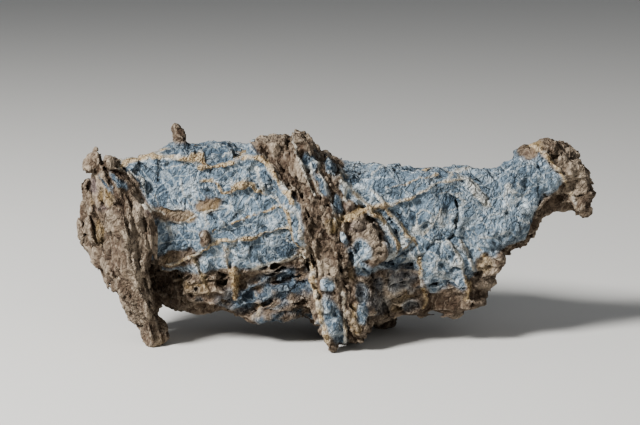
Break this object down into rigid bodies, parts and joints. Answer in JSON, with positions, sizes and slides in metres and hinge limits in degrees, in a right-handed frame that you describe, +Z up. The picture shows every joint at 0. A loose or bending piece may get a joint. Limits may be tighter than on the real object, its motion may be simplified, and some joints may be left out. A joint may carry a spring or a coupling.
{
  "type": "wind-eroded stone",
  "caption": "Fengling stone: a long slab of blue-grey limestone with raised veins, a brown crust and band, a hooked wing and worn feet that it stands on.",
  "frame": {"origin": "on the table under the middle of the stone's length and depth", "axes": "+X runs along the stone from the plate to the hooked wing, +Z is up, and -Y is the side with the blue face"},
  "size_m": [0.23, 0.0857, 0.099],
  "materials": {
    "weathered_limestone": "dull and dry: blue-grey sand-blasted limestone with pale raised veins, and rough brown crust"
  },
  "bodies": {
    "root": {"stone": "weathered_limestone"}
  },
  "joints": []
}
